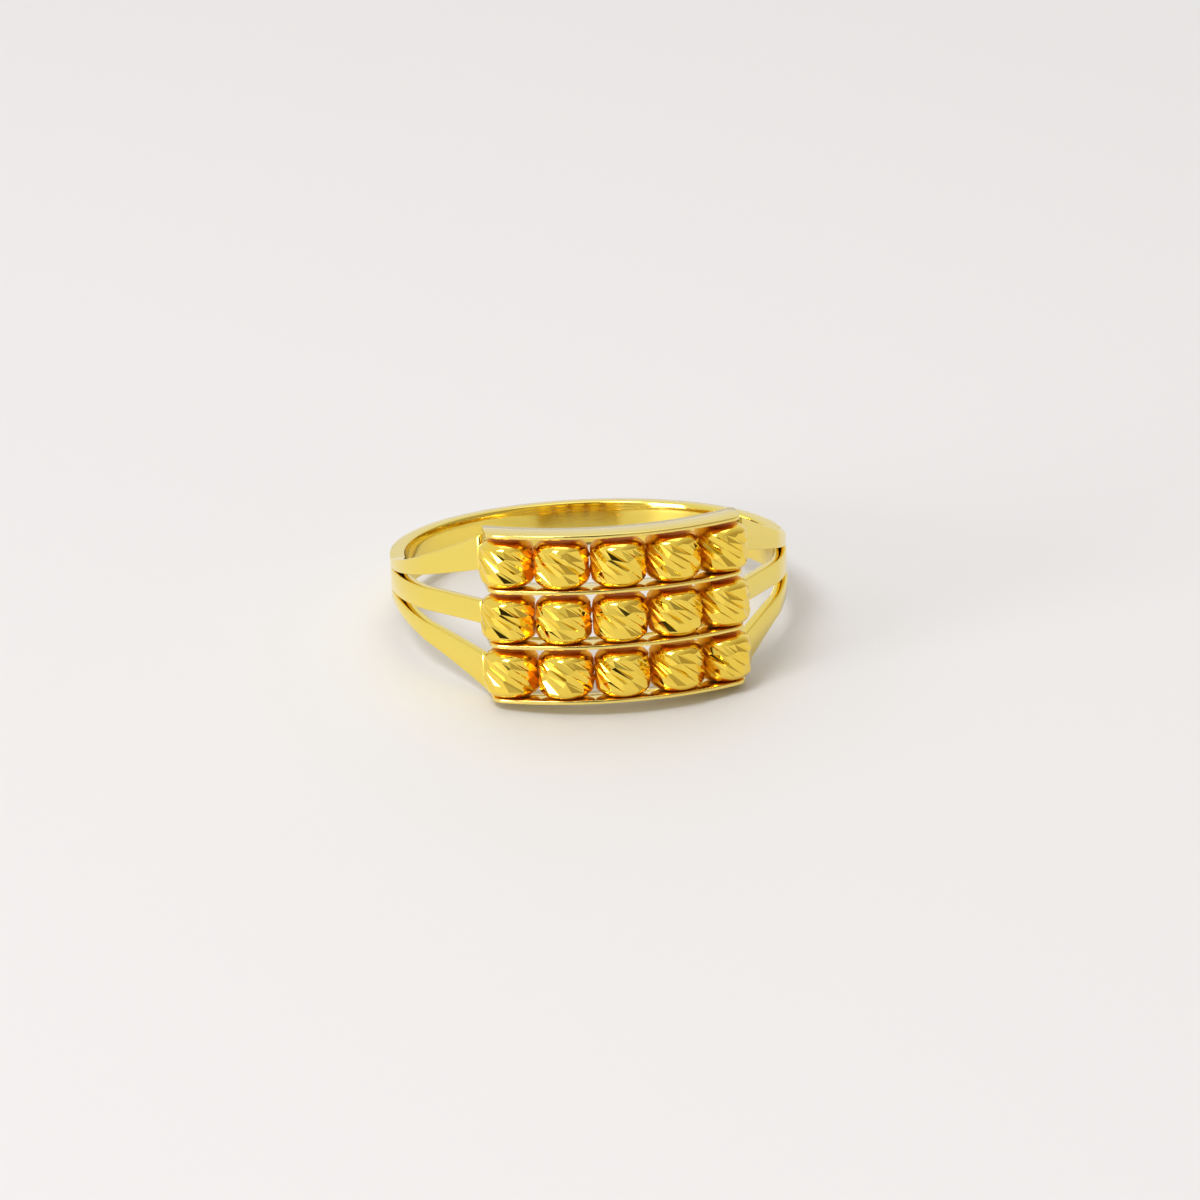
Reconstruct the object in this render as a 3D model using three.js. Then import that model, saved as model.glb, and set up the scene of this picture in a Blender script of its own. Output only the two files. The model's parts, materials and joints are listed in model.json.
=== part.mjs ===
// Gold finger ring with three rows of diamond-cut beads between four thin rails.
// Millimetres, +Z up. The ring is first built about its finger axis, with the head of beads
// towards -Y, and is then tipped to the angle at which it rests on its side by itself.
import * as THREE from "three";

// Band and arms
const fingerRadius = 8.65;
const bandWall = 0.7;
const bandWidth = 2.05;
const slitAngle = THREE.MathUtils.degToRad(90);
const creaseAngle = THREE.MathUtils.degToRad(63.5);
const armWall = 0.45;
const middleArmWidth = 1.06;
const outerArmHeadWidth = 1.6;
const outerArmPastRow = 0.28;
const armSpreadPower = 1.4;
const armLanding = 0.58;

// Beads
const rowCount = 3;
const beadsPerRow = 5;
const beadWidth = 2.545;
const beadHeight = 2.14;
const beadShoulderRadius = 0.65;
const beadSides = 16;
const beadCutTurn = 1.2;
const beadInset = 0.1;

// Rails
const railThickness = 0.18;
const railDepth = 1.7;
const railOverhang = 0.93;
const railEndReach = 0.93;

// Clearances
const beadToBead = 0.012;
const beadToLowerRail = 0.04;
const beadToUpperRail = 0.2;
const beadToArm = 0.05;

// Steps along the curves
const bandSteps = 44;
const bendSteps = 7;
const straightSteps = 6;
const railArcSteps = 20;
const shoulderSteps = 4;

// Worked out from the sizes above
const bandRadius = fingerRadius + bandWall;
const rowPitch = railThickness + beadToLowerRail + beadHeight + beadToUpperRail;
const beadSag = (beadToUpperRail - beadToLowerRail) / 2;
const beadCircle = fingerRadius - beadInset + beadWidth / 2;
const beadStepAngle = 2 * Math.asin((beadWidth + beadToBead) / 2 / beadCircle);
const endBeadAngle = (beadStepAngle * (beadsPerRow - 1)) / 2;
const endBeadAxis = onCircle(beadCircle, endBeadAngle);
const railRadius = beadCircle + railOverhang;
const railHalfLength = endBeadAxis.x + railEndReach;
const headHalfHeight = (rowCount * rowPitch + railThickness) / 2;

const gold = new THREE.MeshStandardMaterial({ color: 0xe9c04e, metalness: 1, roughness: 0.12 });

// A point in plan at an angle measured from the head, towards +X for a positive angle.
function onCircle(radius, angle) {
  return new THREE.Vector2(radius * Math.sin(angle), -radius * Math.cos(angle));
}

// Where a straight line from a point first comes within a distance of a centre, along the line.
function reachTo(start, direction, centre, distance) {
  const toCentre = centre.clone().sub(start);
  const along = toCentre.dot(direction);
  const aside = Math.abs(toCentre.cross(direction));
  return along - Math.sqrt(Math.max(distance ** 2 - aside ** 2, 0));
}

// A closed mesh from a list of triangles, each of three points.
function meshOf(name, triangles) {
  const positions = triangles.flat().flatMap((point) => [point.x, point.y, point.z]);
  const geometry = new THREE.BufferGeometry();
  geometry.setAttribute("position", new THREE.Float32BufferAttribute(positions, 3));
  geometry.computeVertexNormals();
  const mesh = new THREE.Mesh(geometry, gold);
  mesh.name = name;
  return mesh;
}

function quad(triangles, a, b, c, d) {
  triangles.push([a, b, c], [a, c, d]);
}

// Stations along the right half of the shank, from the head to the back: each has its outer and
// inner point in plan, and the heights of the lower, middle and upper ribbon of metal there.
// A station is whole where the three ribbons are one band.
function shankStations() {
  const crease = onCircle(bandRadius, creaseAngle);
  const landing = onCircle(beadCircle + armLanding, endBeadAngle);
  const direction = landing.clone().sub(crease).normalize();
  const inward = new THREE.Vector2(direction.y, -direction.x);
  const bendLength = bandRadius * (slitAngle - creaseAngle);
  const outerReach = reachTo(crease, direction, endBeadAxis, beadWidth / 2 + beadToArm);
  const innerStart = crease.clone().addScaledVector(inward, armWall);
  const innerReach = reachTo(innerStart, direction, endBeadAxis, beadWidth / 2 + beadToArm);
  const armLength = bendLength + outerReach;
  const stations = [];

  // The straight stretch, from the end bead back to the crease. Its wall turns into the bend's.
  for (let step = straightSteps; step >= 1; step--) {
    const share = step / straightSteps;
    stations.push({
      outer: crease.clone().addScaledVector(direction, outerReach * share),
      inner: innerStart.clone().addScaledVector(direction, innerReach * share),
      ribbons: armRibbons((bendLength + outerReach * share) / armLength),
    });
  }
  // The bend on the band's own circle, from the crease back to the start of the slits.
  for (let step = bendSteps; step >= 1; step--) {
    const share = step / bendSteps;
    const angle = THREE.MathUtils.lerp(slitAngle, creaseAngle, share);
    const wall = THREE.MathUtils.lerp(bandWall, armWall, share);
    stations.push({
      outer: onCircle(bandRadius, angle),
      inner: onCircle(bandRadius - wall, angle),
      ribbons: armRibbons((bendLength * share) / armLength),
    });
  }
  // The plain band, from the slits to the back.
  for (let step = 0; step <= bandSteps / 2; step++) {
    const angle = THREE.MathUtils.lerp(slitAngle, Math.PI, (2 * step) / bandSteps);
    stations.push({
      outer: onCircle(bandRadius, angle),
      inner: onCircle(fingerRadius, angle),
      ribbons: armRibbons(0),
      whole: true,
    });
  }
  return stations;
}

// Lowest and highest point of the lower, middle and upper arm, at a share of the way from the
// slits, where they meet, to the head. The outer two land a little past the middle of their row.
function armRibbons(share) {
  const spread = share ** armSpreadPower;
  const slitWidth = (bandWidth - middleArmWidth) / 2;
  const width = THREE.MathUtils.lerp(slitWidth, outerArmHeadWidth, spread);
  const slitMiddle = (middleArmWidth + slitWidth) / 2;
  const middle = THREE.MathUtils.lerp(slitMiddle, rowPitch + outerArmPastRow, spread);
  return [
    [-middle - width / 2, -middle + width / 2],
    [-middleArmWidth / 2, middleArmWidth / 2],
    [middle - width / 2, middle + width / 2],
  ];
}

function mirrored(station) {
  const flip = (point) => new THREE.Vector2(-point.x, point.y);
  return { ...station, outer: flip(station.outer), inner: flip(station.inner) };
}

// The shank is one skin over three ribbons that share their edges round the back and part at the
// slits, so that the arms and the band are one closed solid.
function shank() {
  const right = shankStations();
  const left = right.slice(0, -1).map(mirrored);
  const stations = [...right, ...left.reverse()];
  const triangles = [];
  const place = (point, height) => new THREE.Vector3(point.x, point.y, height);
  const corners = (station, ribbon) => {
    const [low, high] = station.ribbons[ribbon];
    const { outer, inner } = station;
    return [place(outer, low), place(outer, high), place(inner, high), place(inner, low)];
  };
  const bottomRibbon = 0;
  const topRibbon = 2;

  for (let ribbon = bottomRibbon; ribbon <= topRibbon; ribbon++) {
    for (let step = 0; step + 1 < stations.length; step++) {
      const here = stations[step];
      const next = stations[step + 1];
      const whole = here.whole && next.whole;
      const [a, b, c, d] = corners(here, ribbon);
      const [e, f, g, h] = corners(next, ribbon);
      quad(triangles, a, e, f, b);
      quad(triangles, c, g, h, d);
      if (!whole || ribbon === topRibbon) quad(triangles, b, f, g, c);
      if (!whole || ribbon === bottomRibbon) quad(triangles, d, h, e, a);
    }
    const [a, b, c, d] = corners(stations[0], ribbon);
    const [e, f, g, h] = corners(stations[stations.length - 1], ribbon);
    quad(triangles, a, b, c, d);
    quad(triangles, e, h, g, f);
  }
  return meshOf("shank", triangles);
}

// A rail is a thin curved plate. Its ends are cut straight back.
function rail(index) {
  const innerRadius = railRadius - railDepth;
  const outerHalfAngle = Math.asin(railHalfLength / railRadius);
  const innerHalfAngle = Math.asin(railHalfLength / innerRadius);
  const outline = [];
  for (let step = 0; step <= railArcSteps; step++) {
    const angle = THREE.MathUtils.lerp(-outerHalfAngle, outerHalfAngle, step / railArcSteps);
    outline.push(onCircle(railRadius, angle));
  }
  for (let step = railArcSteps; step >= 0; step--) {
    const angle = THREE.MathUtils.lerp(-innerHalfAngle, innerHalfAngle, step / railArcSteps);
    outline.push(onCircle(innerRadius, angle));
  }
  const geometry = new THREE.ExtrudeGeometry(new THREE.Shape(outline), {
    depth: railThickness,
    bevelEnabled: false,
  });
  const mesh = new THREE.Mesh(geometry, gold);
  mesh.name = `rail_${index + 1}`;
  mesh.position.z = (rowCount / 2 - index) * rowPitch - railThickness / 2;
  return mesh;
}

// A bead is a barrel with rounded shoulders and flat ends. Its rings run from the middle of the
// barrel to the end, each at a height and a radius. Turn is in facets: the cuts across the middle
// run down to the right. The lower half is the same, turned the other way.
function beadRings() {
  const barrelRadius = beadWidth / 2;
  const barrelTop = beadHeight / 2 - beadShoulderRadius;
  const rings = [
    { height: 0, radius: barrelRadius, turn: 0 },
    { height: barrelTop / 2, radius: barrelRadius, turn: -beadCutTurn / 2 },
  ];
  for (let step = 0; step <= shoulderSteps; step++) {
    const angle = (step / shoulderSteps) * (Math.PI / 2);
    rings.push({
      height: barrelTop + beadShoulderRadius * Math.sin(angle),
      radius: barrelRadius - beadShoulderRadius * (1 - Math.cos(angle)),
      turn: -beadCutTurn,
    });
  }
  return rings;
}

function turnedOver({ height, radius, turn }) {
  return { height: -height, radius, turn: -turn };
}

function beadTriangles() {
  const upperHalf = beadRings();
  const lowerHalf = upperHalf.slice(1).reverse().map(turnedOver);
  const rings = [...lowerHalf, ...upperHalf].map(({ height, radius, turn }) => {
    const ring = [];
    for (let side = 0; side < beadSides; side++) {
      const angle = ((side + turn) / beadSides) * 2 * Math.PI;
      ring.push(new THREE.Vector3(radius * Math.cos(angle), radius * Math.sin(angle), height));
    }
    return ring;
  });
  const triangles = [];
  for (let level = 0; level + 1 < rings.length; level++) {
    for (let side = 0; side < beadSides; side++) {
      const next = (side + 1) % beadSides;
      const [a, b] = [rings[level][side], rings[level][next]];
      const [c, d] = [rings[level + 1][next], rings[level + 1][side]];
      quad(triangles, a, b, c, d);
    }
  }
  const bottom = rings[0];
  const top = rings[rings.length - 1];
  for (let side = 1; side + 1 < beadSides; side++) {
    triangles.push([bottom[0], bottom[side + 1], bottom[side]]);
    triangles.push([top[0], top[side], top[side + 1]]);
  }
  return triangles;
}

// Each bead has a little play on its pin and lies low, on the rail below it.
function bead(row, column) {
  const angle = (column - (beadsPerRow - 1) / 2) * beadStepAngle;
  const axis = onCircle(beadCircle, angle);
  const mesh = meshOf(`bead_r${row + 1}_c${column + 1}`, beadTriangles());
  mesh.position.set(axis.x, axis.y, ((rowCount - 1) / 2 - row) * rowPitch - beadSag);
  mesh.rotation.z = angle;
  return mesh;
}

// The ring built upright on its finger axis.
const ring = new THREE.Group();
ring.add(shank());
for (let index = 0; index <= rowCount; index++) ring.add(rail(index));
for (let row = 0; row < rowCount; row++) {
  for (let column = 0; column < beadsPerRow; column++) ring.add(bead(row, column));
}

// Laid on its side, it rests on the lower edge at the back of the band and on the two rear
// corners of the lowest rail, so the head stands higher than the back.
const railRearCorner = Math.sqrt((railRadius - railDepth) ** 2 - railHalfLength ** 2);
const restTilt = Math.atan2(headHalfHeight - bandWidth / 2, bandRadius + railRearCorner);
ring.rotation.x = -restTilt;

// The origin is the middle of the ring's box, on the surface that it lies on.
ring.updateMatrixWorld(true);
const box = new THREE.Box3().setFromObject(ring, true);
const middle = box.getCenter(new THREE.Vector3());
ring.position.set(-middle.x, -middle.y, -box.min.z);

const part = new THREE.Group();
part.add(ring);

export default part;
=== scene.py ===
# Gold finger ring with three rows of diamond-cut beads, laid on its side on a pale floor.
# Shapes are worked out in the ring's own upright frame, with the finger axis along Z and the
# head of beads towards -Y, and are then tipped into the frame that the CAD model rests in.
import json
import math
import random

import bmesh
import bpy
from mathutils import Matrix, Vector

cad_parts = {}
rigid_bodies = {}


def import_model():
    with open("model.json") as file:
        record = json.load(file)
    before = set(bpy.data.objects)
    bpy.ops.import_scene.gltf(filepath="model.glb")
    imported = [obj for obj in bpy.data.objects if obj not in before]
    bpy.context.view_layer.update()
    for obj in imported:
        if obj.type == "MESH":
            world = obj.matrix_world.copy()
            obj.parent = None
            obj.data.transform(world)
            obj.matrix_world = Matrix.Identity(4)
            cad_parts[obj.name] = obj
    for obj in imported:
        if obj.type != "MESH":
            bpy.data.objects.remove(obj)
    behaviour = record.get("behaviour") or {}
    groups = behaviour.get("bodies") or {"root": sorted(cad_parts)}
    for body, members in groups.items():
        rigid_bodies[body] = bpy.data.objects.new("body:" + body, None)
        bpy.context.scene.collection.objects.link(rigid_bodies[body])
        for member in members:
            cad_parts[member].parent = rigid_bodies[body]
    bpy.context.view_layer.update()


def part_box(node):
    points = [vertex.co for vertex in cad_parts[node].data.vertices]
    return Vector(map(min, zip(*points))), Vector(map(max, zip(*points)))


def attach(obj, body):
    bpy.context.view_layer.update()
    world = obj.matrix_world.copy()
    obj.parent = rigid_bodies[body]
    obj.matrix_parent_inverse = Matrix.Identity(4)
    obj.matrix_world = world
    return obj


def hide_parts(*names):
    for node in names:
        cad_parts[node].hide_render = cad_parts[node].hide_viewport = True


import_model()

MM = 0.001

# Sizes of the real ring, the same as the CAD model's
FINGER_RADIUS = 8.65 * MM
BAND_WALL = 0.7 * MM
BAND_WIDTH = 2.05 * MM
SLIT_ANGLE = math.radians(90)
CREASE_ANGLE = math.radians(63.5)
ARM_WALL = 0.45 * MM
MIDDLE_ARM_WIDTH = 1.06 * MM
OUTER_ARM_HEAD_WIDTH = 1.6 * MM
OUTER_ARM_PAST_ROW = 0.28 * MM
ARM_SPREAD_POWER = 1.4
ARM_LANDING = 0.58 * MM
ROW_COUNT = 3
BEADS_PER_ROW = 5
BEAD_WIDTH = 2.545 * MM
BEAD_HEIGHT = 2.14 * MM
BEAD_SHOULDER_RADIUS = 0.65 * MM
BEAD_INSET = 0.1 * MM
RAIL_THICKNESS = 0.18 * MM
RAIL_DEPTH = 1.7 * MM
RAIL_OVERHANG = 0.93 * MM
RAIL_END_REACH = 0.93 * MM
BEAD_TO_BEAD = 0.012 * MM
BEAD_TO_LOWER_RAIL = 0.04 * MM
BEAD_TO_UPPER_RAIL = 0.2 * MM
BEAD_TO_ARM = 0.05 * MM

# Finish of the edges
BAND_EDGE_ROUND = 0.06 * MM
RAIL_EDGE_ROUND = 0.035 * MM
RAIL_CORNER_ROUND = 0.4 * MM

# Painted shade and painted reflection: the faces where shade and light bounced between a bead and
# the rails or its neighbours would fall are marked and show browner. Which faces: on a rail, how far
# each way from a bead's middle; on a bead, beyond which shares of its half height, and between which
# two cosines to a neighbour
PAINTED_SHADE_MARK = "sheltered"
PAINTED_SHADE_OVER_BEAD = 0.78 * MM
PAINTED_SHADE_UNDER_BEAD = 0.45 * MM
PAINTED_SHADE_UPPER_END = 0.968
PAINTED_SHADE_LOWER_END = -0.9
PAINTED_SHADE_BY_NEIGHBOUR = (0.74, 0.95)

BAND_RADIUS = FINGER_RADIUS + BAND_WALL
ROW_PITCH = RAIL_THICKNESS + BEAD_TO_LOWER_RAIL + BEAD_HEIGHT + BEAD_TO_UPPER_RAIL
BEAD_SAG = (BEAD_TO_UPPER_RAIL - BEAD_TO_LOWER_RAIL) / 2
BEAD_CIRCLE = FINGER_RADIUS - BEAD_INSET + BEAD_WIDTH / 2
BEAD_STEP = 2 * math.asin((BEAD_WIDTH + BEAD_TO_BEAD) / 2 / BEAD_CIRCLE)
END_BEAD_ANGLE = BEAD_STEP * (BEADS_PER_ROW - 1) / 2
RAIL_RADIUS = BEAD_CIRCLE + RAIL_OVERHANG
RAIL_HALF_LENGTH = BEAD_CIRCLE * math.sin(END_BEAD_ANGLE) + RAIL_END_REACH


def lerp(low, high, share):
    return low + (high - low) * share


def on_circle(radius, angle):
    """A point in plan at an angle from the head, towards +X for a positive angle."""
    return Vector((radius * math.sin(angle), -radius * math.cos(angle)))


def resting_place():
    """The turn and shift from the ring's upright frame to the frame that it rests in.

    The rails lie one above another along the finger axis, which gives its lean.
    """
    axis = (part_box("rail_1")[0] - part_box(f"rail_{ROW_COUNT + 1}")[0]).normalized()
    tilt = math.atan2(axis.y, axis.z)
    low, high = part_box("shank")
    half = BAND_WIDTH / 2
    back_y = BAND_RADIUS * math.cos(tilt) + half * math.sin(tilt)
    back_z = BAND_RADIUS * math.sin(tilt) + half * math.cos(tilt)
    shift = Vector((0, high.y - back_y, low.z + back_z))
    return Matrix.Translation(shift) @ Matrix.Rotation(-tilt, 4, "X")


RESTING = resting_place()


# Camera

LENS = 150
SENSOR = 36
PICTURE_SIDE = 1200
PIXELS_PER_MM = 21.19
RING_CENTRE_PIXEL = (588.7, 564.1)
CAMERA_ELEVATION = math.radians(13.66)
CAMERA_TURN = math.radians(7.77)
CAMERA_ROLL = math.radians(2.43)
CLIP_NEAR = 10 * MM
CLIP_FAR = 20


def set_camera():
    """The photograph's camera, stated against the upright ring and tipped along with it."""
    focal_pixels = LENS / SENSOR * PICTURE_SIDE
    distance = focal_pixels / PIXELS_PER_MM * MM
    sin_turn, cos_turn = math.sin(CAMERA_TURN), math.cos(CAMERA_TURN)
    sin_up, cos_up = math.sin(CAMERA_ELEVATION), math.cos(CAMERA_ELEVATION)
    level_right = Vector((cos_turn, -sin_turn, 0))
    level_up = Vector((sin_turn * sin_up, cos_turn * sin_up, cos_up))
    forward = Vector((sin_turn * cos_up, cos_turn * cos_up, -sin_up))
    right = level_right * math.cos(CAMERA_ROLL) - level_up * math.sin(CAMERA_ROLL)
    up = level_right * math.sin(CAMERA_ROLL) + level_up * math.cos(CAMERA_ROLL)
    stance = Matrix((right, up, -forward)).transposed().to_4x4()
    stance.translation = -forward * distance

    data = bpy.data.cameras.new("photograph_camera")
    data.lens = LENS
    data.sensor_width = SENSOR
    data.clip_start = CLIP_NEAR
    data.clip_end = CLIP_FAR
    data.shift_x = (PICTURE_SIDE / 2 - RING_CENTRE_PIXEL[0]) / PICTURE_SIDE
    data.shift_y = (RING_CENTRE_PIXEL[1] - PICTURE_SIDE / 2) / PICTURE_SIDE
    camera = bpy.data.objects.new("photograph_camera", data)
    bpy.context.scene.collection.objects.link(camera)
    camera.matrix_world = RESTING @ stance
    bpy.context.scene.camera = camera


# Materials

CLOUD_SCALE = 420
CLOUD_DETAIL = 3
MARK_STRETCH = (1, 1, 9)
MARK_DETAIL = 4
MARK_HEIGHT = 0.01 * MM
TONE_SCALE = 260
TONE_DETAIL = 2


def hand_polish_group():
    """Faint wheel marks and a slow change of roughness, as on metal polished by hand."""
    group = bpy.data.node_groups.new("hand_polish", "ShaderNodeTree")
    sockets = group.interface
    for name in ("Least Roughness", "Roughness Change", "Mark Scale", "Mark Depth"):
        sockets.new_socket(name, in_out="INPUT", socket_type="NodeSocketFloat")
    sockets.new_socket("Roughness", in_out="OUTPUT", socket_type="NodeSocketFloat")
    sockets.new_socket("Normal", in_out="OUTPUT", socket_type="NodeSocketVector")
    nodes, links = group.nodes, group.links
    inputs = nodes.new("NodeGroupInput")
    outputs = nodes.new("NodeGroupOutput")
    place = nodes.new("ShaderNodeTexCoord")

    clouds = nodes.new("ShaderNodeTexNoise")
    clouds.inputs["Scale"].default_value = CLOUD_SCALE
    clouds.inputs["Detail"].default_value = CLOUD_DETAIL
    links.new(place.outputs["Object"], clouds.inputs["Vector"])
    change = nodes.new("ShaderNodeMath")
    change.operation = "MULTIPLY_ADD"
    links.new(clouds.outputs["Fac"], change.inputs[0])
    links.new(inputs.outputs["Roughness Change"], change.inputs[1])
    links.new(inputs.outputs["Least Roughness"], change.inputs[2])
    links.new(change.outputs[0], outputs.inputs["Roughness"])

    stretch = nodes.new("ShaderNodeMapping")
    stretch.inputs["Scale"].default_value = MARK_STRETCH
    links.new(place.outputs["Object"], stretch.inputs["Vector"])
    marks = nodes.new("ShaderNodeTexNoise")
    marks.inputs["Detail"].default_value = MARK_DETAIL
    links.new(stretch.outputs["Vector"], marks.inputs["Vector"])
    links.new(inputs.outputs["Mark Scale"], marks.inputs["Scale"])
    bump = nodes.new("ShaderNodeBump")
    bump.inputs["Distance"].default_value = MARK_HEIGHT
    links.new(inputs.outputs["Mark Depth"], bump.inputs["Strength"])
    links.new(marks.outputs["Fac"], bump.inputs["Height"])
    links.new(bump.outputs["Normal"], outputs.inputs["Normal"])
    return group


def gold_material(name, polish, colour, deep_colour, finish):
    """Solid yellow gold. Its colour drifts a little between two tones of the same alloy, and its
    finish gives each input of the hand polish a value."""
    material = bpy.data.materials.new(name)
    material.use_nodes = True
    nodes, links = material.node_tree.nodes, material.node_tree.links
    metal = nodes["Principled BSDF"]
    metal.inputs["Metallic"].default_value = 1.0
    place = nodes.new("ShaderNodeTexCoord")
    tone = nodes.new("ShaderNodeTexNoise")
    tone.inputs["Scale"].default_value = TONE_SCALE
    tone.inputs["Detail"].default_value = TONE_DETAIL
    links.new(place.outputs["Object"], tone.inputs["Vector"])
    blend = nodes.new("ShaderNodeMix")
    blend.data_type = "RGBA"
    blend.inputs["A"].default_value = (*colour, 1)
    blend.inputs["B"].default_value = (*deep_colour, 1)
    links.new(tone.outputs["Fac"], blend.inputs["Factor"])
    links.new(blend.outputs["Result"], metal.inputs["Base Color"])
    polished = nodes.new("ShaderNodeGroup")
    polished.node_tree = polish
    for socket, value in finish.items():
        polished.inputs[socket].default_value = value
    links.new(polished.outputs["Roughness"], metal.inputs["Roughness"])
    links.new(polished.outputs["Normal"], metal.inputs["Normal"])
    return material


def paint_shade_on_marked_faces(material, colour, roughness):
    """Paints shade on the faces that a piece marks: a deeper, browner and less glossy gold that
    stands in for shade and light bounced between bead and plate.
    """
    nodes, links = material.node_tree.nodes, material.node_tree.links
    metal = nodes["Principled BSDF"]
    marked = nodes.new("ShaderNodeAttribute")
    marked.attribute_name = PAINTED_SHADE_MARK
    changes = (("Base Color", "RGBA", (*colour, 1)), ("Roughness", "FLOAT", roughness))
    for socket, kind, value in changes:
        polished = metal.inputs[socket].links[0].from_socket
        blend = nodes.new("ShaderNodeMix")
        blend.data_type = kind
        given = [item for item in blend.inputs if item.enabled]
        links.new(marked.outputs["Fac"], given[0])
        links.new(polished, given[1])
        given[2].default_value = value
        result = next(item for item in blend.outputs if item.enabled)
        links.new(result, metal.inputs[socket])


POLISH = hand_polish_group()
POLISHED_GOLD = gold_material(
    "polished_gold",
    POLISH,
    colour=(0.97, 0.79, 0.18),
    deep_colour=(0.95, 0.73, 0.13),
    finish={
        "Least Roughness": 0.06,
        "Roughness Change": 0.05,
        "Mark Scale": 2600,
        "Mark Depth": 0.12,
    },
)
RAIL_GOLD = gold_material(
    "rail_gold",
    POLISH,
    colour=(0.98, 0.80, 0.24),
    deep_colour=(0.96, 0.74, 0.18),
    finish={
        "Least Roughness": 0.08,
        "Roughness Change": 0.06,
        "Mark Scale": 3200,
        "Mark Depth": 0.15,
    },
)
CUT_GOLD = gold_material(
    "cut_gold",
    POLISH,
    colour=(1.0, 0.76, 0.125),
    deep_colour=(0.98, 0.69, 0.085),
    finish={
        "Least Roughness": 0.03,
        "Roughness Change": 0.03,
        "Mark Scale": 4200,
        "Mark Depth": 0.05,
    },
)
# Painted shade and painted reflection: a browner, less glossy gold on the marked faces of rails and
# beads
paint_shade_on_marked_faces(RAIL_GOLD, colour=(0.72, 0.24, 0.014), roughness=0.45)
paint_shade_on_marked_faces(CUT_GOLD, colour=(0.96, 0.50, 0.02), roughness=0.45)


# Ribbons of metal: the band, its arms and the rails

CORNER_STEPS = 3
WELD_DISTANCE = 0.0002 * MM
AREA_WEIGHT = 100
# Each corner of a section has the same number of points, and the flat side after a corner starts
# at the last of them
POINT_BEFORE_SIDE = {
    side: number * CORNER_STEPS - 1
    for number, side in enumerate(("outer", "top", "inner", "bottom"), start=1)
}


def rounded_section(outer, inner, low, high, corner_radii):
    """Points round a ribbon's section: outer low, outer high, inner high and inner low corner.
    Each corner is a quarter of a circle, and starts from its own turn on it."""
    width = (inner - outer).length
    across = (inner - outer) / width
    corners = (
        {"reach": 0, "height": low, "to_inside": 1, "to_middle": 1, "turn": 0.75},
        {"reach": 0, "height": high, "to_inside": 1, "to_middle": -1, "turn": 0.5},
        {"reach": width, "height": high, "to_inside": -1, "to_middle": -1, "turn": 0.25},
        {"reach": width, "height": low, "to_inside": -1, "to_middle": 1, "turn": 0.0},
    )
    quarter = 0.25
    points = []
    for corner, radius in zip(corners, corner_radii):
        centre_reach = corner["reach"] + corner["to_inside"] * radius
        centre_height = corner["height"] + corner["to_middle"] * radius
        for step in range(CORNER_STEPS):
            angle = 2 * math.pi * (corner["turn"] - quarter * step / (CORNER_STEPS - 1))
            at = outer + across * (centre_reach + radius * math.cos(angle))
            points.append(Vector((at.x, at.y, centre_height + radius * math.sin(angle))))
    return points


def skin_between(mesh, ring_a, ring_b, without=()):
    """Quads from one section to the next, leaving out the named sides. Each quad keeps the number
    of its first point as its material index, which tells its side until the piece is placed."""
    count = len(ring_a)
    skipped = {POINT_BEFORE_SIDE[side] for side in without}
    for index in range(count):
        if index in skipped:
            continue
        after = (index + 1) % count
        face = mesh.faces.new((ring_a[index], ring_a[after], ring_b[after], ring_b[index]))
        face.material_index = index


def finished_piece(name, mesh, material, body):
    """Welds a mesh made upright, tips it into the resting frame and makes it a piece."""
    bmesh.ops.remove_doubles(mesh, verts=mesh.verts, dist=WELD_DISTANCE)
    bmesh.ops.dissolve_degenerate(mesh, edges=mesh.edges, dist=WELD_DISTANCE)
    bmesh.ops.recalc_face_normals(mesh, faces=mesh.faces)
    data = bpy.data.meshes.new(name)
    mesh.to_mesh(data)
    mesh.free()
    return placed(name, data, material, body)


def placed(name, data, material, body):
    """Tips a mesh into the resting frame and makes it a piece of one material."""
    data.transform(RESTING)
    for face in data.polygons:
        face.material_index = 0
    data.materials.clear()
    data.materials.append(material)
    piece = bpy.data.objects.new(name, data)
    bpy.context.scene.collection.objects.link(piece)
    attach(piece, body)
    return piece


def flat_faces_stay_flat(piece):
    """Weights the normals by area, so that only the rounded edges carry the turn of the light."""
    for face in piece.data.polygons:
        face.use_smooth = True
    weighted = piece.modifiers.new("flat faces", "WEIGHTED_NORMAL")
    weighted.keep_sharp = True
    weighted.weight = AREA_WEIGHT


def reach_to(start, direction, centre, distance):
    """How far along a line it first comes within a distance of a centre."""
    to_centre = centre - start
    along = to_centre.dot(direction)
    aside = abs(to_centre.x * direction.y - to_centre.y * direction.x)
    return along - math.sqrt(max(distance**2 - aside**2, 0))


def arm_ribbons(share):
    """Lowest and highest point of the three arms, from the slits (0) to the head (1)."""
    spread = share**ARM_SPREAD_POWER
    slit_width = (BAND_WIDTH - MIDDLE_ARM_WIDTH) / 2
    width = lerp(slit_width, OUTER_ARM_HEAD_WIDTH, spread)
    slit_middle = (MIDDLE_ARM_WIDTH + slit_width) / 2
    middle = lerp(slit_middle, ROW_PITCH + OUTER_ARM_PAST_ROW, spread)
    half_middle = MIDDLE_ARM_WIDTH / 2
    return (
        (-middle - width / 2, -middle + width / 2),
        (-half_middle, half_middle),
        (middle - width / 2, middle + width / 2),
    )


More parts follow.
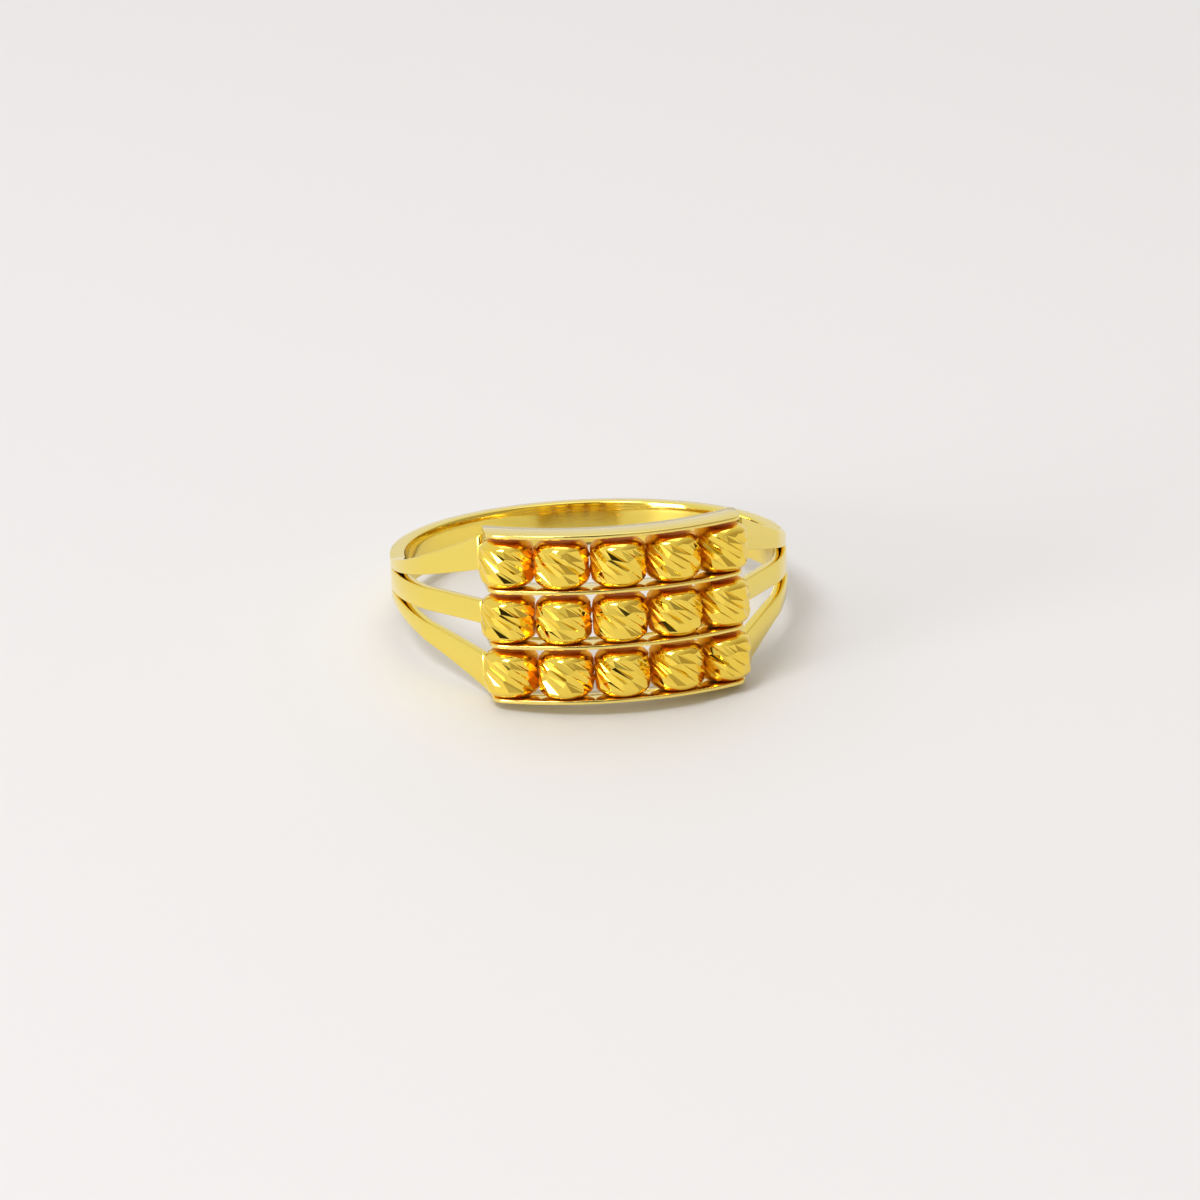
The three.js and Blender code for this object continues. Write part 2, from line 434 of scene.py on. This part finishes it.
def shank_stations():
    """Stations along the right half of the shank, from the end bead round to the back."""
    straight_steps = 14
    bend_steps = 22
    band_steps = 60
    crease = on_circle(BAND_RADIUS, CREASE_ANGLE)
    direction = (on_circle(BEAD_CIRCLE + ARM_LANDING, END_BEAD_ANGLE) - crease).normalized()
    inward = Vector((direction.y, -direction.x))
    end_bead = on_circle(BEAD_CIRCLE, END_BEAD_ANGLE)
    stop = BEAD_WIDTH / 2 + BEAD_TO_ARM
    inner_start = crease + inward * ARM_WALL
    outer_reach = reach_to(crease, direction, end_bead, stop)
    inner_reach = reach_to(inner_start, direction, end_bead, stop)
    bend_length = BAND_RADIUS * (SLIT_ANGLE - CREASE_ANGLE)
    arm_length = bend_length + outer_reach
    stations = []
    for step in range(straight_steps, 0, -1):
        share = step / straight_steps
        stations.append(
            {
                "outer": crease + direction * outer_reach * share,
                "inner": inner_start + direction * inner_reach * share,
                "ribbons": arm_ribbons((bend_length + outer_reach * share) / arm_length),
                "whole": False,
            }
        )
    for step in range(bend_steps, 0, -1):
        share = step / bend_steps
        angle = lerp(SLIT_ANGLE, CREASE_ANGLE, share)
        stations.append(
            {
                "outer": on_circle(BAND_RADIUS, angle),
                "inner": on_circle(BAND_RADIUS - lerp(BAND_WALL, ARM_WALL, share), angle),
                "ribbons": arm_ribbons(bend_length * share / arm_length),
                "whole": False,
            }
        )
    for step in range(band_steps + 1):
        angle = lerp(SLIT_ANGLE, math.pi, step / band_steps)
        stations.append(
            {
                "outer": on_circle(BAND_RADIUS, angle),
                "inner": on_circle(FINGER_RADIUS, angle),
                "ribbons": arm_ribbons(0),
                "whole": True,
            }
        )
    return stations


def mirrored(station):
    """The same station on the other half of the shank."""
    flipped = dict(station)
    for side in ("outer", "inner"):
        flipped[side] = Vector((-station[side].x, station[side].y))
    return flipped


def make_shank():
    """The band and its arms: three ribbons side by side, joined where the band is whole."""
    right = shank_stations()
    stations = right + [mirrored(station) for station in reversed(right[:-1])]
    mesh = bmesh.new()
    for ribbon in range(ROW_COUNT):
        joined_below = ribbon > 0
        joined_above = ribbon < ROW_COUNT - 1
        rings = []
        for station in stations:
            low, high = station["ribbons"][ribbon]
            below = 0 if station["whole"] and joined_below else BAND_EDGE_ROUND
            above = 0 if station["whole"] and joined_above else BAND_EDGE_ROUND
            section = rounded_section(
                station["outer"], station["inner"], low, high, (below, above, above, below)
            )
            rings.append([mesh.verts.new(point) for point in section])
        for index in range(len(stations) - 1):
            without = []
            if stations[index]["whole"] and stations[index + 1]["whole"]:
                if joined_above:
                    without.append("top")
                if joined_below:
                    without.append("bottom")
            skin_between(mesh, rings[index], rings[index + 1], without)
        mesh.faces.new(rings[0])
        mesh.faces.new(rings[-1])
    piece = finished_piece("band_and_arms", mesh, POLISHED_GOLD, "root")
    flat_faces_stay_flat(piece)
    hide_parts("shank")


def faces_a_bead_end(rail, side_number, angle):
    """Whether a side of a rail lies right over or under the end of a bead, near its middle, and so
    gets painted shade.
    """
    over_beads = side_number == POINT_BEFORE_SIDE["bottom"] and rail < ROW_COUNT
    under_beads = side_number == POINT_BEFORE_SIDE["top"] and rail > 0
    from_middle = abs(angle - BEAD_STEP * round(angle / BEAD_STEP)) * BEAD_CIRCLE
    over = over_beads and from_middle < PAINTED_SHADE_OVER_BEAD
    return over or (under_beads and from_middle < PAINTED_SHADE_UNDER_BEAD)


def rail_stations():
    """Places along a rail as shares of its half length, each with how far both edges are set back
    there to round the corners of its ends."""
    corner_steps = 7
    middle_steps = 132
    corner_share = RAIL_CORNER_ROUND / RAIL_HALF_LENGTH
    corner = []
    for step in range(corner_steps):
        turn = math.pi / 2 * step / corner_steps
        share = 1 - corner_share * (1 - math.cos(turn))
        corner.append((share, RAIL_CORNER_ROUND * (1 - math.sin(turn))))
    middle = []
    for step in range(middle_steps + 1):
        middle.append(((2 * step / middle_steps - 1) * (1 - corner_share), 0))
    return [(-share, setback) for share, setback in corner] + middle + corner[::-1]


def make_rail(index):
    """A thin curved plate with softened edges. Its ends are cut straight back and their corners
    are rounded."""
    inner_radius = RAIL_RADIUS - RAIL_DEPTH
    outer_half = math.asin(RAIL_HALF_LENGTH / RAIL_RADIUS)
    inner_half = math.asin(RAIL_HALF_LENGTH / inner_radius)
    height = (ROW_COUNT / 2 - index) * ROW_PITCH
    low, high = height - RAIL_THICKNESS / 2, height + RAIL_THICKNESS / 2
    mesh = bmesh.new()
    rings = []
    for share, setback in rail_stations():
        back = Vector((0, setback))
        section = rounded_section(
            on_circle(RAIL_RADIUS, outer_half * share) + back,
            on_circle(inner_radius, inner_half * share) - back,
            low,
            high,
            (RAIL_EDGE_ROUND,) * 4,
        )
        rings.append([mesh.verts.new(point) for point in section])
    for ring_a, ring_b in zip(rings, rings[1:]):
        skin_between(mesh, ring_a, ring_b)
    mesh.faces.new(rings[0])
    mesh.faces.new(rings[-1])
    # Painted shade: the faces right over or under a bead's end are marked for a browner, less glossy
    # gold
    sheltered = mesh.faces.layers.float.new(PAINTED_SHADE_MARK)
    for face in mesh.faces:
        middle = face.calc_center_median()
        angle = math.atan2(middle.x, -middle.y)
        face[sheltered] = float(faces_a_bead_end(index, face.material_index, angle))
    piece = finished_piece(f"curved_rail_{index + 1}", mesh, RAIL_GOLD, "root")
    flat_faces_stay_flat(piece)
    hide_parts(f"rail_{index + 1}")


# Beads

CUTS = 13
CUT_TWIST = math.radians(105)
CUT_DEPTH = 0.075 * MM
RIDGE_PROUD = 0.04 * MM
# Shares of a bead's half height: where the cuts end, where their faces break, and how far both
# wander from cut to cut
CUT_ZONE = 0.7
TIER_HEIGHTS = (-0.26, 0.26)
TIER_STAGGER = 0.13
CUT_END_STAGGER = 0.12
# The steep side's share of a cut, and how uneven the hand makes each cut
STEEP_SHARE = 0.27
UNEVEN_PLACE = 0.1
UNEVEN_DEPTH = (0.4, 1.25)
UNEVEN_STEEPNESS = (0.7, 1.4)
UNEVEN_TIER = 0.5
TIER_SIDE_SHARE = 0.6
RIDGE_TIER_SHARE = 0.6
FIRST_PATTERN_SEED = 7
BEAD_PATTERNS = 7
# Levels of a shoulder, and points on its round for each point of the cut middle
SHOULDER_LEVELS = 14
ROUND_PARTS = 3
ROW_FIRST_TURN = (math.radians(4), math.radians(-7), math.radians(9))
BEAD_OWN_TURN = math.radians(5)


def bead_radius(height_share):
    """The radius of the barrel and its rounded shoulders, at a share of half the height. The
    ridges stand a little proud of the plain barrel, so that neighbours touch."""
    barrel_radius = BEAD_WIDTH / 2 + RIDGE_PROUD
    above_barrel = abs(height_share) * BEAD_HEIGHT / 2 - (BEAD_HEIGHT / 2 - BEAD_SHOULDER_RADIUS)
    if above_barrel <= 0:
        return barrel_radius
    kept = math.sqrt(max(BEAD_SHOULDER_RADIUS**2 - above_barrel**2, 0))
    return barrel_radius - BEAD_SHOULDER_RADIUS + kept


def bead_heights():
    """Level heights from the lower end to the upper: shoulder, the tiers of the cut middle, and
    shoulder again, with levels closer together towards the flat ends."""
    start = math.asin(CUT_ZONE)
    upper = [CUT_ZONE]
    for step in range(1, SHOULDER_LEVELS + 1):
        upper.append(math.sin(lerp(start, math.pi / 2, step / SHOULDER_LEVELS)))
    return [-height for height in reversed(upper)] + list(TIER_HEIGHTS) + upper


def hand_cuts(pattern):
    """Each cut's own place, depth, steep side, tier breaks and ends, a little uneven as cut by
    hand."""
    chance = random.Random(FIRST_PATTERN_SEED + pattern)
    cuts = []
    for number in range(CUTS):
        side = 1 if number % 2 else -1
        cuts.append(
            {
                "angle": 2 * math.pi * (number + chance.uniform(-UNEVEN_PLACE, UNEVEN_PLACE)) / CUTS,
                "depth": CUT_DEPTH * chance.uniform(*UNEVEN_DEPTH),
                "steep": STEEP_SHARE * chance.uniform(*UNEVEN_STEEPNESS),
                "tier": TIER_STAGGER
                * (TIER_SIDE_SHARE * side + chance.uniform(-UNEVEN_TIER, UNEVEN_TIER)),
                "end": CUT_END_STAGGER * chance.uniform(0, 1),
            }
        )
    return cuts


def cut_ring(cuts, height):
    """Points round the bead at one level: for each cut its ridge and its floor."""
    in_tiers = height in TIER_HEIGHTS
    at_cut_end = abs(height) == CUT_ZONE
    points = []
    for cut, following in zip(cuts, cuts[1:] + cuts[:1]):
        width = (following["angle"] - cut["angle"]) % (2 * math.pi)
        for share, on_floor in ((0, False), (cut["steep"], True)):
            own = height
            if in_tiers:
                own += cut["tier"] * (1 if on_floor else RIDGE_TIER_SHARE)
            if at_cut_end and on_floor:
                own -= math.copysign(cut["end"], height)
            reach = bead_radius(own) - (cut["depth"] if in_tiers and on_floor else 0)
            slant = -CUT_TWIST / 2 * max(-1, min(1, own / CUT_ZONE))
            angle = cut["angle"] + slant + width * share
            points.append(
                Vector((reach * math.cos(angle), reach * math.sin(angle), own * BEAD_HEIGHT / 2))
            )
    return points


def finer(points, parts):
    """The same ring with more points on it, set on the round between each two."""
    ring = []
    for here, after in zip(points, points[1:] + points[:1]):
        for part in range(parts):
            share = part / parts
            point = here.lerp(after, share)
            radius = lerp(here.xy.length, after.xy.length, share)
            point.xy = point.xy.normalized() * radius
            ring.append(point)
    return ring


def bridge(mesh, lower, upper, smooth):
    """Quads between two rings with the same number of points."""
    count = len(lower)
    for index in range(count):
        after = (index + 1) % count
        face = mesh.faces.new((lower[index], lower[after], upper[after], upper[index]))
        face.smooth = smooth


def fan_out(mesh, tier, ring):
    """Joins the last ring of the cut middle to the finer ring of the shoulder next to it. The
    edge between them stays crisp."""
    for index in range(len(tier)):
        after = (index + 1) % len(tier)
        first = index * ROUND_PARTS
        fan = [ring[(first + part) % len(ring)] for part in range(ROUND_PARTS + 1)]
        face = mesh.faces.new([tier[index], tier[after]] + fan[::-1])
        face.smooth = True
        mesh.edges.get((tier[index], tier[after])).smooth = False


def make_cut_bead(pattern):
    """One bead on the origin: a barrel whose middle is cut in slanted grooves, each with a wide
    face and a steep one, between smooth polished shoulders."""
    mesh = bmesh.new()
    cuts = hand_cuts(pattern)
    tiers = []
    lower_shoulder = []
    upper_shoulder = []
    for height in bead_heights():
        points = cut_ring(cuts, height)
        if abs(height) <= CUT_ZONE:
            tiers.append([mesh.verts.new(point) for point in points])
        else:
            shoulder = upper_shoulder if height > 0 else lower_shoulder
            shoulder.append([mesh.verts.new(point) for point in finer(points, ROUND_PARTS)])

    for lower, upper in zip(tiers, tiers[1:]):
        bridge(mesh, lower, upper, smooth=False)
    for shoulder in (lower_shoulder, upper_shoulder):
        for lower, upper in zip(shoulder, shoulder[1:]):
            bridge(mesh, lower, upper, smooth=True)
    fan_out(mesh, tiers[0], lower_shoulder[-1])
    fan_out(mesh, tiers[-1], upper_shoulder[0])
    for flat_end in (lower_shoulder[0], upper_shoulder[-1]):
        mesh.faces.new(flat_end).smooth = True
    bmesh.ops.triangulate(mesh, faces=[face for face in mesh.faces if len(face.verts) == 4])
    bmesh.ops.recalc_face_normals(mesh, faces=mesh.faces)
    data = bpy.data.meshes.new(f"cut_bead_{pattern}")
    mesh.to_mesh(data)
    mesh.free()
    return bpy.data.objects.new(data.name, data)


def bead_patterns():
    """A tray of beads, each cut a little differently."""
    tray = bpy.data.collections.new("cut_beads")
    bpy.context.scene.collection.children.link(tray)
    for pattern in range(BEAD_PATTERNS):
        tray.objects.link(make_cut_bead(pattern))
    return tray


def bead_row_tree():
    """Sets a bead at each place along an arc of the head, each turned a little further."""
    tree = bpy.data.node_groups.new("bead_row", "GeometryNodeTree")
    sockets = tree.interface
    for name, kind in (
        ("Geometry", "NodeSocketGeometry"),
        ("Beads", "NodeSocketCollection"),
        ("First Bead", "NodeSocketInt"),
        ("Count", "NodeSocketInt"),
        ("Circle", "NodeSocketFloat"),
        ("Step", "NodeSocketFloat"),
        ("Height", "NodeSocketFloat"),
        ("First Turn", "NodeSocketFloat"),
        ("Turn", "NodeSocketFloat"),
        ("Gold", "NodeSocketMaterial"),
    ):
        sockets.new_socket(name, in_out="INPUT", socket_type=kind)
    sockets.new_socket("Geometry", in_out="OUTPUT", socket_type="NodeSocketGeometry")
    nodes, links = tree.nodes, tree.links
    given = nodes.new("NodeGroupInput")
    result = nodes.new("NodeGroupOutput")

    def maths(operation, *values):
        node = nodes.new("ShaderNodeMath")
        node.operation = operation
        for socket, value in zip(node.inputs, values):
            if isinstance(value, (int, float)):
                socket.default_value = value
            else:
                links.new(value, socket)
        return node.outputs[0]

    index = nodes.new("GeometryNodeInputIndex").outputs["Index"]
    half_count = maths("MULTIPLY", maths("SUBTRACT", given.outputs["Count"], 1), 0.5)
    angle = maths("MULTIPLY", maths("SUBTRACT", index, half_count), given.outputs["Step"])
    across = maths("MULTIPLY", maths("SINE", angle), given.outputs["Circle"])
    ahead = maths("MULTIPLY", maths("COSINE", angle), given.outputs["Circle"])
    place = nodes.new("ShaderNodeCombineXYZ")
    links.new(across, place.inputs["X"])
    links.new(maths("MULTIPLY", ahead, -1), place.inputs["Y"])
    links.new(given.outputs["Height"], place.inputs["Z"])
    points = nodes.new("GeometryNodePoints")
    links.new(given.outputs["Count"], points.inputs["Count"])
    links.new(place.outputs["Vector"], points.inputs["Position"])

    own_turn = maths("MULTIPLY", index, given.outputs["Turn"])
    turn = nodes.new("ShaderNodeCombineXYZ")
    links.new(
        maths("ADD", maths("ADD", angle, own_turn), given.outputs["First Turn"]), turn.inputs["Z"]
    )
    tray = nodes.new("GeometryNodeCollectionInfo")
    tray.inputs["Separate Children"].default_value = True
    tray.inputs["Reset Children"].default_value = True
    links.new(given.outputs["Beads"], tray.inputs["Collection"])
    beads = nodes.new("GeometryNodeInstanceOnPoints")
    beads.inputs["Pick Instance"].default_value = True
    links.new(points.outputs["Points"], beads.inputs["Points"])
    links.new(tray.outputs["Instances"], beads.inputs["Instance"])
    links.new(maths("ADD", index, given.outputs["First Bead"]), beads.inputs["Instance Index"])
    links.new(turn.outputs["Vector"], beads.inputs["Rotation"])
    realized = nodes.new("GeometryNodeRealizeInstances")
    links.new(beads.outputs["Instances"], realized.inputs["Geometry"])
    gilded = nodes.new("GeometryNodeSetMaterial")
    links.new(realized.outputs["Geometry"], gilded.inputs["Geometry"])
    links.new(given.outputs["Gold"], gilded.inputs["Material"])
    links.new(gilded.outputs["Geometry"], result.inputs["Geometry"])
    return tree


def bead_axis(number):
    """Where a row's bead stands in plan, counted from the left."""
    return on_circle(BEAD_CIRCLE, (number - (BEADS_PER_ROW - 1) / 2) * BEAD_STEP)


def mark_painted_shade_faces(data, row_height):
    """Marks how much painted shade each face of a row of beads gets: at the flat ends under the
    rails, and where a neighbouring bead stands close, standing in for shade and light bounced
    between them."""
    marks = data.attributes.new(PAINTED_SHADE_MARK, "FLOAT", "FACE")
    last = BEADS_PER_ROW - 1
    least, most = PAINTED_SHADE_BY_NEIGHBOUR
    for face in data.polygons:
        place = math.atan2(face.center.x, -face.center.y) / BEAD_STEP + last / 2
        number = max(0, min(last, round(place)))
        outward = (face.center.xy - bead_axis(number)).normalized()
        height = (face.center.z - row_height) / (BEAD_HEIGHT / 2)
        mark = float(height > PAINTED_SHADE_UPPER_END or height < PAINTED_SHADE_LOWER_END)
        for neighbour in (number - 1, number + 1):
            if 0 <= neighbour <= last:
                towards = (bead_axis(neighbour) - bead_axis(number)).normalized()
                mark = max(mark, min(1, (outward.dot(towards) - least) / (most - least)))
        marks.data[face.index].value = mark


def make_bead_row(row, beads, tree):
    """A row of beads, set by the bead row tree and kept as a plain mesh."""
    name = f"bead_row_{row + 1}"
    row_height = ((ROW_COUNT - 1) / 2 - row) * ROW_PITCH - BEAD_SAG
    holder = bpy.data.objects.new(name + "_holder", bpy.data.meshes.new(name + "_holder"))
    bpy.context.scene.collection.objects.link(holder)
    modifier = holder.modifiers.new("bead row", "NODES")
    modifier.node_group = tree
    values = {
        "Beads": beads,
        "First Bead": row * BEADS_PER_ROW,
        "Count": BEADS_PER_ROW,
        "Circle": BEAD_CIRCLE,
        "Step": BEAD_STEP,
        "Height": row_height,
        "First Turn": ROW_FIRST_TURN[row],
        "Turn": BEAD_OWN_TURN,
        "Gold": CUT_GOLD,
    }
    for item in tree.interface.items_tree:
        if item.in_out == "INPUT" and item.name in values:
            modifier[item.identifier] = values[item.name]
    graph = bpy.context.evaluated_depsgraph_get()
    data = bpy.data.meshes.new_from_object(holder.evaluated_get(graph))
    bpy.data.objects.remove(holder)
    data.name = name
    # Painted shade at the flat ends of the beads and on their sides towards each neighbour
    mark_painted_shade_faces(data, row_height)
    piece = placed(name, data, CUT_GOLD, "root")
    replaced = [f"bead_r{row + 1}_c{column + 1}" for column in range(BEADS_PER_ROW)]
    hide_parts(*replaced)


# Floor and light

FLOOR_SIZE = 6.0
FLOOR_ROUGHNESS = 0.6
FLOOR_COLOUR = (0.715, 0.705, 0.708)


def make_floor():
    """A wide plain floor under the ring."""
    data = bpy.data.meshes.new("floor")
    half = FLOOR_SIZE / 2
    corners = [(-half, -half, 0), (half, -half, 0), (half, half, 0), (-half, half, 0)]
    data.from_pydata(corners, [], [(0, 1, 2, 3)])
    material = bpy.data.materials.new("pale_floor")
    material.use_nodes = True
    paper = material.node_tree.nodes["Principled BSDF"]
    paper.inputs["Base Color"].default_value = (*FLOOR_COLOUR, 1)
    paper.inputs["Roughness"].default_value = FLOOR_ROUGHNESS
    data.materials.append(material)
    floor = bpy.data.objects.new("floor", data)
    bpy.context.scene.collection.objects.link(floor)


SKY_STRENGTH = 0.80
# How bright the studio is at a direction, by its nearness (the cosine) to the dark side and to
# the shaded right wall
DARK_SIDE = Vector((-0.124, -0.907, 0.404)).normalized()
DARK_SIDE_TONES = (
    {"nearness": 0.10, "tone": (1.0, 1.0, 1.0)},
    {"nearness": 0.60, "tone": (0.96, 0.95, 0.93)},
    {"nearness": 0.93, "tone": (0.88, 0.86, 0.83)},
    {"nearness": 0.96, "tone": (0.04, 0.035, 0.03)},
)
RIGHT_WALL = Vector((0.93, -0.35, 0.12)).normalized()
RIGHT_WALL_TONES = (
    {"nearness": 0.30, "tone": (1.0, 1.0, 1.0)},
    {"nearness": 0.80, "tone": (0.55, 0.47, 0.38)},
)
# Lights in metres from the floor under the ring's middle, each turned to the ring
RING_MIDDLE = (0, 0, 0.004)
KEY = {"place": (-0.23, -0.19, 0.52), "width": 0.19, "height": 0.19, "watts": 1.4}
OVERHEAD = {"place": (0.05, 0.2, 0.6), "width": 0.4, "height": 0.4, "watts": 0.6}
LEFT_PANEL = {"place": (-0.56, -0.3, 0.13), "width": 0.26, "height": 0.2, "watts": 1.8}


def soft_light(name, place, width, height, watts):
    """A rectangular light turned to the ring."""
    data = bpy.data.lights.new(name, "AREA")
    data.shape = "RECTANGLE"
    data.size = width
    data.size_y = height
    data.energy = watts
    light = bpy.data.objects.new(name, data)
    bpy.context.scene.collection.objects.link(light)
    light.location = place
    to_ring = Vector(RING_MIDDLE) - Vector(place)
    light.rotation_euler = to_ring.to_track_quat("-Z", "Y").to_euler()


def studio_tone(nodes, links, direction, side, tones):
    """The studio's tone by how near a direction is to one of its sides."""
    nearness = nodes.new("ShaderNodeVectorMath")
    nearness.operation = "DOT_PRODUCT"
    nearness.inputs[1].default_value = side
    links.new(direction, nearness.inputs[0])
    ramp = nodes.new("ShaderNodeValToRGB")
    stops = ramp.color_ramp.elements
    while len(stops) < len(tones):
        stops.new(1.0)
    for stop, tone in zip(stops, tones):
        stop.position = tone["nearness"]
    for stop, tone in zip(stops, tones):
        stop.color = (*tone["tone"], 1)
    links.new(nearness.outputs["Value"], ramp.inputs["Fac"])
    return ramp.outputs["Color"]


def make_light():
    """A white studio with an unlit place behind the camera, which the cuts of the beads show as
    dark slivers, and a shaded wall at the right."""
    world = bpy.data.worlds.new("studio")
    bpy.context.scene.world = world
    world.use_nodes = True
    nodes, links = world.node_tree.nodes, world.node_tree.links
    background = nodes["Background"]
    direction = nodes.new("ShaderNodeTexCoord").outputs["Generated"]
    both = nodes.new("ShaderNodeMix")
    both.data_type = "RGBA"
    both.blend_type = "MULTIPLY"
    both.inputs["Factor"].default_value = 1
    links.new(studio_tone(nodes, links, direction, DARK_SIDE, DARK_SIDE_TONES), both.inputs["A"])
    links.new(studio_tone(nodes, links, direction, RIGHT_WALL, RIGHT_WALL_TONES), both.inputs["B"])
    links.new(both.outputs["Result"], background.inputs["Color"])
    background.inputs["Strength"].default_value = SKY_STRENGTH
    soft_light("key", **KEY)
    soft_light("overhead", **OVERHEAD)
    soft_light("left_panel", **LEFT_PANEL)


# Building

set_camera()
make_floor()
make_light()
bpy.context.scene.view_settings.view_transform = "Standard"

make_shank()
for rail_index in range(ROW_COUNT + 1):
    make_rail(rail_index)
cut_beads = bead_patterns()
row_tree = bead_row_tree()
for row_index in range(ROW_COUNT):
    make_bead_row(row_index, cut_beads, row_tree)
for spare in list(cut_beads.objects):
    bpy.data.objects.remove(spare)
bpy.data.collections.remove(cut_beads)
